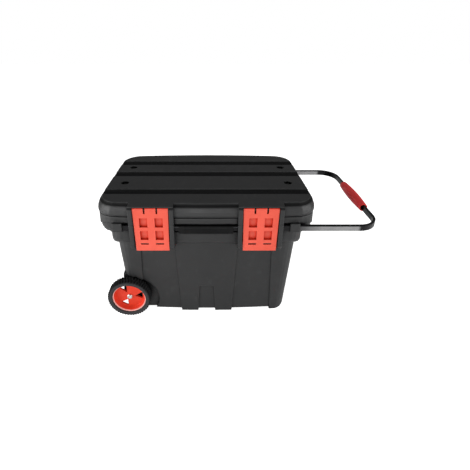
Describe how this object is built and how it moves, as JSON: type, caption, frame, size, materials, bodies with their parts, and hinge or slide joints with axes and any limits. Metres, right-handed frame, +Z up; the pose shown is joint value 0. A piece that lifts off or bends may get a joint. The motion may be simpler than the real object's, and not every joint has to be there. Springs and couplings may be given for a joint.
{
  "type": "rolling tool case",
  "caption": "Black moulded tool case with a grooved hinged lid, red latches, carry handle, wheels at one end, a pull-out bar handle at the other and a sliding tray.",
  "frame": {"origin": "floor level, under the middle of the bounding box with the pull handle pushed in", "axes": "+X towards the pull handle, -Y towards the latches, +Z up"},
  "size_m": [0.81, 0.4285, 0.405],
  "materials": {
    "black_plastic": "fine-grained moulded polypropylene",
    "tray_plastic": "matt",
    "handle_plastic": "matt",
    "red_plastic": "satin",
    "grip_plastic": "satin",
    "painted_bar": "dark grey satin paint",
    "bright_steel": "plated",
    "dark_steel": "oiled",
    "tyre_rubber": "matt"
  },
  "bodies": {
    "case": {"bin": "black_plastic", "hinge_pin_left": "bright_steel", "hinge_pin_right": "bright_steel", "carry_handle_pin_left": "bright_steel", "carry_handle_pin_right": "bright_steel", "axle": "bright_steel", "axle_cap_front": "bright_steel", "axle_cap_rear": "bright_steel", "wheel_washer_front": "bright_steel", "wheel_washer_rear": "bright_steel"},
    "lid": {"lid": "black_plastic", "latch_pin_left": "dark_steel", "latch_pin_right": "dark_steel"},
    "latch_left": {"latch_left": "red_plastic"},
    "latch_right": {"latch_right": "red_plastic"},
    "carry_handle": {"carry_handle": "handle_plastic"},
    "pull_handle": {"pull_bar": "painted_bar", "pull_grip": "grip_plastic", "bar_stop_pin_front": "dark_steel", "bar_stop_pin_rear": "dark_steel"},
    "wheel_front": {"wheel_hub_front": "red_plastic", "tyre_front": "tyre_rubber"},
    "wheel_rear": {"wheel_hub_rear": "red_plastic", "tyre_rear": "tyre_rubber"},
    "tray": {"tray": "tray_plastic"}
  },
  "joints": [
    {"name": "lid_hinge", "type": "hinge", "parent": "case", "child": "lid", "pos_m": [-0.095, 0.2105, 0.366], "axis": [-1, 0, 0], "range_deg": [0, 100]},
    {"name": "latch_left_hinge", "type": "hinge", "parent": "lid", "child": "latch_left", "pos_m": [-0.244, -0.205, 0.3953], "axis": [-1, 0, 0], "range_deg": [0, 90]},
    {"name": "latch_right_hinge", "type": "hinge", "parent": "lid", "child": "latch_right", "pos_m": [0.054, -0.205, 0.3953], "axis": [-1, 0, 0], "range_deg": [0, 90]},
    {"name": "carry_handle_swing", "type": "hinge", "parent": "case", "child": "carry_handle", "pos_m": [-0.095, -0.2065, 0.3395], "axis": [-1, 0, 0], "range_deg": [0, 90]},
    {"name": "pull_handle_slide", "type": "slide", "parent": "case", "child": "pull_handle", "axis": [1, 0, 0], "range_m": [0, 0.33]},
    {"name": "wheel_front_spin", "type": "hinge", "parent": "case", "child": "wheel_front", "pos_m": [-0.336, -0.174, 0.0665], "axis": [0, 1, 0], "continuous": true},
    {"name": "wheel_rear_spin", "type": "hinge", "parent": "case", "child": "wheel_rear", "pos_m": [-0.336, 0.174, 0.0665], "axis": [0, 1, 0], "continuous": true},
    {"name": "tray_slide", "type": "slide", "parent": "case", "child": "tray", "axis": [1, 0, 0], "range_m": [0, 0.24]}
  ]
}
